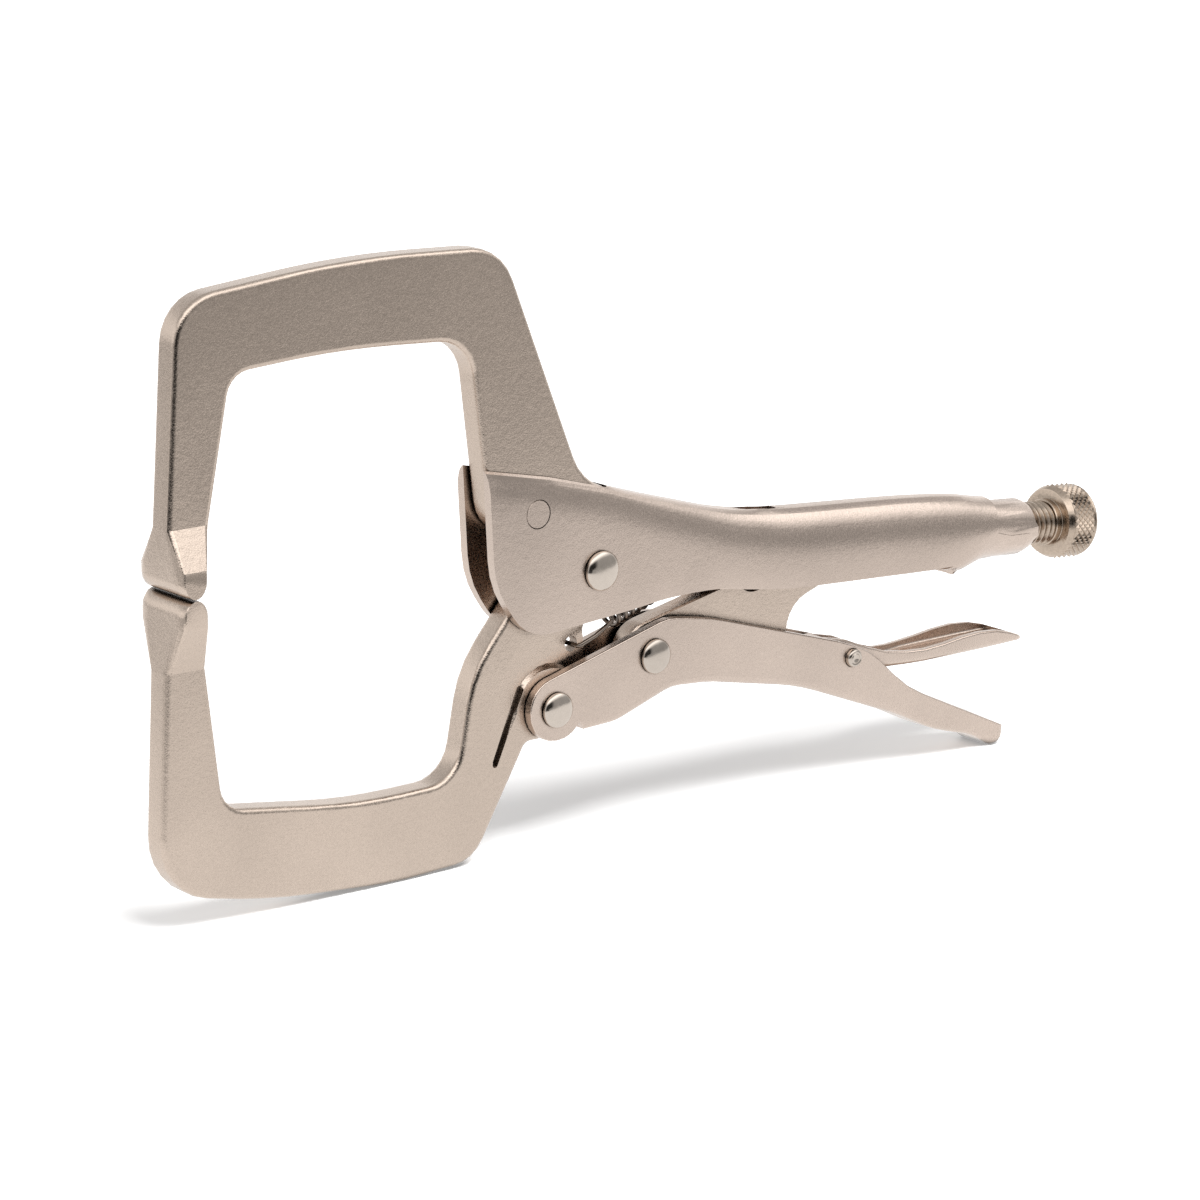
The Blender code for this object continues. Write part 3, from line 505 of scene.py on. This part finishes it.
def blend_crimp(bm):
    """Lifts the lower edge of the crimp in the handle's tail level with the tube's side."""
    lifted = 0
    for v in bm.verts:
        along, up = (v.co.x - PIVOT.x) / MM, (v.co.z - PIVOT.z) / MM
        out = abs(v.co.y) / MM
        spans = ((CRIMP_ALONG, along), (CRIMP_UP, up), (CRIMP_OUT, out))
        if all(low < at < high for (low, high), at in spans):
            v.co.y = math.copysign(TUBE_HALF, v.co.y)
            lifted += 1
    print("crimp's edge blended at", lifted, "points")


def even_normals(made, rims):
    """Gives each corner off the rims the mean normal of the faces close by that face nearly the same way."""
    mesh = made.data
    end = PIVOT.x + SKIN_END
    tube = PIVOT.x + TUBE_START
    skin = [face for face in mesh.polygons if face.index not in rims and face.center.x < end]
    tree = KDTree(len(skin))
    for face in skin:
        tree.insert(face.center, face.index)
    tree.balance()
    normals = [face.normal.copy() for face in mesh.polygons]
    areas = [face.area for face in mesh.polygons]
    corners = [corner.vector.copy() for corner in mesh.corner_normals]
    near = {}
    for face in skin:
        own = normals[face.index]
        for loop in face.loop_indices:
            v = mesh.loops[loop].vertex_index
            if v not in near:
                near[v] = [
                    (i, areas[i] * math.exp(-0.5 * (d / NORMAL_REACH) ** 2))
                    for _, i, d in tree.find_range(mesh.vertices[v].co, 2.2 * NORMAL_REACH)
                ]
            kin = NORMAL_KIN if mesh.vertices[v].co.x < tube else TUBE_KIN
            total = own * 1e-9
            for i, weight in near[v]:
                if normals[i].dot(own) > kin:
                    total += normals[i] * weight
            corners[loop] = total.normalized()
    mesh.normals_split_custom_set(corners)


# %% [markdown]
# Each piece that was forged or pressed is dressed in turn. The sheet of the handle has the roundest
# edges.

# %% Handles, jaws, link and release lever
SOFT_EDGES = {
    "fixed_handle": 0.5 * MM,
    "moving_handle": 0.25 * MM,
    "fixed_jaw": 0.2 * MM,
    "moving_jaw": 0.2 * MM,
    "toggle_link": 0.2 * MM,
    "release_lever": 0.25 * MM,
}
TIP_CREASES = {"fixed_jaw": (25.9, 17.2), "moving_jaw": (-5.9, 5.0)}
SLICES_ALONG = range(-12, 122, 3)
SLICES_UP = range(-18, 24, 2)
SLICES_ACROSS = range(-7, 8, 2)

for node, width in SOFT_EDGES.items():
    bm = copied(node)
    if node == "fixed_handle":
        sliced(bm, (1, 0, 0), [PIVOT.x + x * MM for x in SLICES_ALONG])
        sliced(bm, (0, 0, 1), [PIVOT.z + z * MM for z in SLICES_UP])
        sliced(bm, (0, 1, 0), [y * MM for y in SLICES_ACROSS])
        fair_skin(bm)
        blend_crimp(bm)
    made = piece(node + "_dressed", bm, node)
    if node in TIP_CREASES:
        crease(made, TIP_CREASES[node])
    soften(made, width)
    rims = set_shape(made)
    if node == "fixed_handle":
        even_normals(made, rims)
    if node in TIP_CREASES:
        level_flare(made, TIP_CREASES[node])
    print(made.name, len(made.data.polygons), "faces")

# %% [markdown]
# Each rivet is a plain round bar that was spun over at both ends, so its head is a low dome with a
# small upright rim. One profile, from the middle of the dome down to the shank, is spun round the
# rivet's axis, and the mirror of it makes the far side.


# %% Rivets
def spun(profile, centre, axis, steps=96):
    """Spins (along, radius) points round an axis through centre and closes the seam."""
    bm = bmesh.new()
    points = [bm.verts.new((radius, 0.0, along)) for along, radius in profile]
    edges = [bm.edges.new(pair) for pair in zip(points, points[1:])]
    bmesh.ops.spin(
        bm, geom=points + edges, cent=(0, 0, 0), axis=(0, 0, 1), angle=math.tau, steps=steps, use_merge=True
    )
    bmesh.ops.remove_doubles(bm, verts=bm.verts, dist=0.001 * MM)
    turn = Vector((0, 0, 1)).rotation_difference(Vector(axis)).to_matrix()
    bmesh.ops.rotate(bm, verts=bm.verts, cent=(0, 0, 0), matrix=turn)
    bmesh.ops.translate(bm, verts=bm.verts, vec=Vector(centre))
    bmesh.ops.recalc_face_normals(bm, faces=bm.faces)
    if bm.calc_volume(signed=True) < 0:
        bmesh.ops.reverse_faces(bm, faces=bm.faces)
    return bm


def middle(node):
    low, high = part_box(node)
    return (Vector(low) + Vector(high)) / 2, Vector(high) - Vector(low)


def rivet(node, head, shank, dome):
    centre, size = middle(node)
    reach = size.y / 2
    rim = 0.22 * dome
    arc = [math.radians(a) for a in range(90, 0, -10)]
    half = [(reach - dome + rim + (dome - rim) * math.sin(a), head * math.cos(a) ** 0.9) for a in arc]
    half[0] = (reach, 0.0)
    half += [(reach - dome + rim, head), (reach - dome + 0.02 * MM, head - 0.05 * MM)]
    half += [(reach - dome + 0.02 * MM, shank), (0.0, shank)]
    profile = half + [(-along, radius) for along, radius in reversed(half[:-1])]
    made = piece(node + "_spun", spun(profile, centre, (0, 1, 0)), node)
    print(made.name, "head", round(head / MM * 2, 2), "mm")


rivet("jaw_pivot_rivet", 4.7 * MM, 3.3 * MM, 2.0 * MM)
rivet("lever_rivet", 4.2 * MM, 2.9 * MM, 1.8 * MM)
rivet("link_rivet", 4.2 * MM, 2.9 * MM, 1.8 * MM)

# %% [markdown]
# The release lever's pin is smaller and was closed with a punch, which leaves a ring and a dimple in
# its end. The fixed jaw's second pin was ground flush with the cheek, and shows as a fine ring only.

# %% Pins
centre, size = middle("release_pin")
reach = size.y / 2
pin_end = [(0.25, 0.0), (0.2, 0.5), (0.02, 0.8), (0.0, 1.05), (0.12, 1.25), (0.1, 1.45), (0.0, 1.65)]
pin_end += [(0.1, 1.95), (0.35, 2.15), (0.7, 2.25)]
half = [(reach - depth * MM, radius * MM) for depth, radius in pin_end]
half.append((0.0, 2.25 * MM))
profile = half + [(-along, radius) for along, radius in reversed(half[:-1])]
made = piece("release_pin_punched", spun(profile, centre, (0, 1, 0), 64), "release_pin")
print(made.name, "ring at", pin_end[4][1], "mm")

centre, size = middle("fixed_jaw_pin")
reach = size.y / 2 - 0.03 * MM
profile = [(reach, 0.0), (reach, 3.2 * MM), (reach - 0.12 * MM, 3.3 * MM)]
profile += [(-along, radius) for along, radius in reversed(profile)]
made = piece("fixed_jaw_pin_ground", spun(profile, centre, (0, 1, 0)), "fixed_jaw_pin")
print(made.name, "flush with the cheek")

# %% [markdown]
# The screw's thread is one ridge wound round a core. A profile one pitch long is spun through many
# turns while it moves along the axis, so that each turn meets the next, and their shared points are
# merged. Two flat cuts give the thread square ends.

# %% Adjusting screw: thread
SCREW_AXIS = Vector(joints["screw_turn"]["axis"]).normalized()
SCREW_POINT = Vector(joints["screw_turn"]["pos_m"])
PITCH = 1.75 * MM
CREST = 5.45 * MM
ROOT = 4.55 * MM
THREAD_START = -52.0 * MM
THREAD_END = 14.6 * MM
TURN_STEPS = 48


def set_on_screw(bm):
    """Moves a mesh drawn along Z from the origin onto the screw's axis."""
    turn = Vector((0, 0, 1)).rotation_difference(SCREW_AXIS).to_matrix()
    bmesh.ops.rotate(bm, verts=bm.verts, cent=(0, 0, 0), matrix=turn)
    bmesh.ops.translate(bm, verts=bm.verts, vec=SCREW_POINT)


def threaded():
    bm = bmesh.new()
    ridge = [(0.0, ROOT), (0.12, ROOT), (0.46, CREST), (0.62, CREST), (0.96, ROOT), (1.0, ROOT)]
    points = [bm.verts.new((radius, 0.0, share * PITCH)) for share, radius in ridge]
    edges = [bm.edges.new(pair) for pair in zip(points, points[1:])]
    turns = math.ceil((THREAD_END - THREAD_START) / PITCH) + 3
    bmesh.ops.translate(bm, verts=points, vec=(0, 0, THREAD_START - 1.5 * PITCH))
    bmesh.ops.spin(
        bm,
        geom=points + edges,
        cent=(0, 0, 0),
        axis=(0, 0, 1),
        dvec=(0, 0, PITCH / TURN_STEPS),
        angle=math.tau * turns,
        steps=TURN_STEPS * turns,
    )
    bmesh.ops.remove_doubles(bm, verts=bm.verts, dist=0.005 * MM)
    for level, side in ((THREAD_START, -1), (THREAD_END, 1)):
        geom = bm.verts[:] + bm.edges[:] + bm.faces[:]
        bmesh.ops.bisect_plane(
            bm, geom=geom, dist=1e-6, plane_co=(0, 0, level), plane_no=(0, 0, side), clear_outer=True
        )
        rim = [e for e in bm.edges if e.is_boundary and all(abs(v.co.z - level) < 1e-5 for v in e.verts)]
        bmesh.ops.contextual_create(bm, geom=rim)
    return bm


bm = threaded()
set_on_screw(bm)
bmesh.ops.recalc_face_normals(bm, faces=bm.faces)
thread_faces = len(bm.faces)
screw_mesh = bm
print("thread of", thread_faces, "faces")

# %% [markdown]
# The knob is turned from bar and knurled by two wheels whose teeth cross, which raises rows of small
# diamonds. Here a plain band of squares is poked, its first edges are dissolved so that the squares
# become diamonds, and each diamond is poked again and raised to a point.

# %% Adjusting screw: knob
KNOB_RADIUS = 8.98 * MM
KNURL_HEIGHT = 0.5 * MM
KNURL_ROUND = 36
KNURL_ROWS = 4
KNURL_START = 18.0 * MM
KNURL_END = 24.9 * MM


def knurled():
    bm = bmesh.new()
    ring = bmesh.ops.create_circle(bm, segments=KNURL_ROUND, radius=KNOB_RADIUS)["verts"]
    bmesh.ops.translate(bm, verts=ring, vec=(0, 0, KNURL_START))
    loop = bm.edges[:]
    for row in range(KNURL_ROWS):
        grown = bmesh.ops.extrude_edge_only(bm, edges=loop)["geom"]
        loop = [g for g in grown if isinstance(g, bmesh.types.BMEdge)]
        ring = [g for g in grown if isinstance(g, bmesh.types.BMVert)]
        bmesh.ops.translate(bm, verts=ring, vec=(0, 0, (KNURL_END - KNURL_START) / KNURL_ROWS))
    squares = [e for e in bm.edges if not e.is_boundary]
    middles = bmesh.ops.poke(bm, faces=bm.faces)["verts"]
    for v in middles:
        v.co = Vector((v.co.x, v.co.y, 0)).normalized() * KNOB_RADIUS + Vector((0, 0, v.co.z))
    bmesh.ops.dissolve_edges(bm, edges=[e for e in squares if e.is_valid], use_verts=False)
    diamonds = [f for f in bm.faces if len(f.verts) == 4]
    tips = bmesh.ops.poke(bm, faces=diamonds)["verts"]
    for v in tips:
        out = Vector((v.co.x, v.co.y, 0)).normalized()
        v.co = out * (KNOB_RADIUS + KNURL_HEIGHT) + Vector((0, 0, v.co.z))
    return bm


def draw_out(bm, level, steps):
    """Draws the open rim at this level out through rings of (along, radius), and closes it flat."""
    loop = [e for e in bm.edges if e.is_boundary and all(abs(v.co.z - level) < 1e-6 for v in e.verts)]
    for along, radius in steps:
        grown = bmesh.ops.extrude_edge_only(bm, edges=loop)["geom"]
        loop = [g for g in grown if isinstance(g, bmesh.types.BMEdge)]
        for v in [g for g in grown if isinstance(g, bmesh.types.BMVert)]:
            v.co = Vector((v.co.x, v.co.y, 0)).normalized() * radius + Vector((0, 0, along))
    bmesh.ops.contextual_create(bm, geom=loop)


bm = knurled()
front = [(17.7, 9.15), (17.5, 9.05), (16.5, 8.55), (16.28, 8.35), (16.2, 8.1), (16.2, 6.1), (16.1, 5.95)]
front += [(15.6, 5.9), (14.7, 5.9), (14.45, 5.75), (14.4, 5.4), (14.4, 5.0)]
draw_out(bm, KNURL_START, [(a * MM, r * MM) for a, r in front])
back = [(25.1, 9.15), (25.5, 9.0), (26.05, 8.6), (26.2, 8.3), (26.2, 3.0)]
draw_out(bm, KNURL_END, [(a * MM, r * MM) for a, r in back])
set_on_screw(bm)
bmesh.ops.recalc_face_normals(bm, faces=bm.faces)
knob = bpy.data.meshes.new("knob_shape")
bm.to_mesh(knob)
bm.free()
screw_mesh.from_mesh(knob)
bpy.data.meshes.remove(knob)
made = piece("adjusting_screw_turned", screw_mesh, "adjusting_screw", smooth=28.0)
print(made.name, len(made.data.polygons), "faces")

# %% [markdown]
# The spring is hard-drawn wire wound close, with its ends opened into hooks: one through the moving
# jaw's ear, one round the tongue in the handle's web. The wire is a curve through points on a helix,
# given its thickness by the curve's own bevel, and is then made into a mesh.

# %% Spring
EAR_HOLE = PIVOT + Vector((-5.2, 0, -17.6)) * MM
TONGUE = PIVOT + Vector((48.5, 0, 0.9)) * MM
WIRE = 0.55 * MM
COIL = 2.6 * MM
COIL_PITCH = 2.2 * MM
LEAD = 12.0 * MM
COIL_STEPS = 28

along = (TONGUE - EAR_HOLE).normalized()
up = Vector((-along.z, 0, along.x))
side = Vector((0, 1, 0))
turns = math.floor(((TONGUE - EAR_HOLE).length - LEAD - 8.0 * MM) / COIL_PITCH)
points = [EAR_HOLE + side * 4.5 * MM, EAR_HOLE - side * 3.9 * MM]
points.append(EAR_HOLE - side * 4.5 * MM + along * 0.7 * MM)
points += [EAR_HOLE - side * 4.5 * MM + along * 5.0 * MM, EAR_HOLE - side * 3.4 * MM + along * 9.4 * MM]
for k in range(turns * COIL_STEPS + 1):
    turn = math.tau * k / COIL_STEPS
    spot = EAR_HOLE + along * (LEAD + COIL_PITCH * k / COIL_STEPS)
    points.append(spot + COIL * (up * math.sin(turn) - side * math.cos(turn)))
for forward, across in ((-3.0, 2.2), (1.65, 2.2), (2.75, 1.32), (2.75, -2.2)):
    points.append(TONGUE + along * forward * MM + side * across * MM)
path = bpy.data.curves.new("spring_wire", "CURVE")
path.dimensions = "3D"
path.bevel_depth = WIRE
path.bevel_resolution = 4
path.use_fill_caps = True
wire = path.splines.new("POLY")
wire.points.add(len(points) - 1)
for knot, place in zip(wire.points, points):
    knot.co = (*place, 1.0)
drawn = bpy.data.objects.new("spring_path", path)
bpy.context.scene.collection.objects.link(drawn)
deps = bpy.context.evaluated_depsgraph_get()
coiled = bpy.data.meshes.new_from_object(drawn.evaluated_get(deps))
spring = bpy.data.objects.new("spring_wound", coiled)
bpy.context.scene.collection.objects.link(spring)
bpy.data.objects.remove(drawn)
spring.data.materials.clear()
spring.data.materials.append(finishes["spring_steel"])
spring.data.shade_smooth()
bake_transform(spring)
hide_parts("spring")
print("spring of", turns, "turns")

# %% [markdown]
# The screw's plain nose is out of sight inside the handle, so its solid stays as it is and only gets
# the screw's finish.

# %% Hidden nose
nose = frame["nodes"]["screw_nose"]
nose.data.materials.clear()
nose.data.materials.append(finishes["screw_steel"])
print("screw_nose keeps its solid")
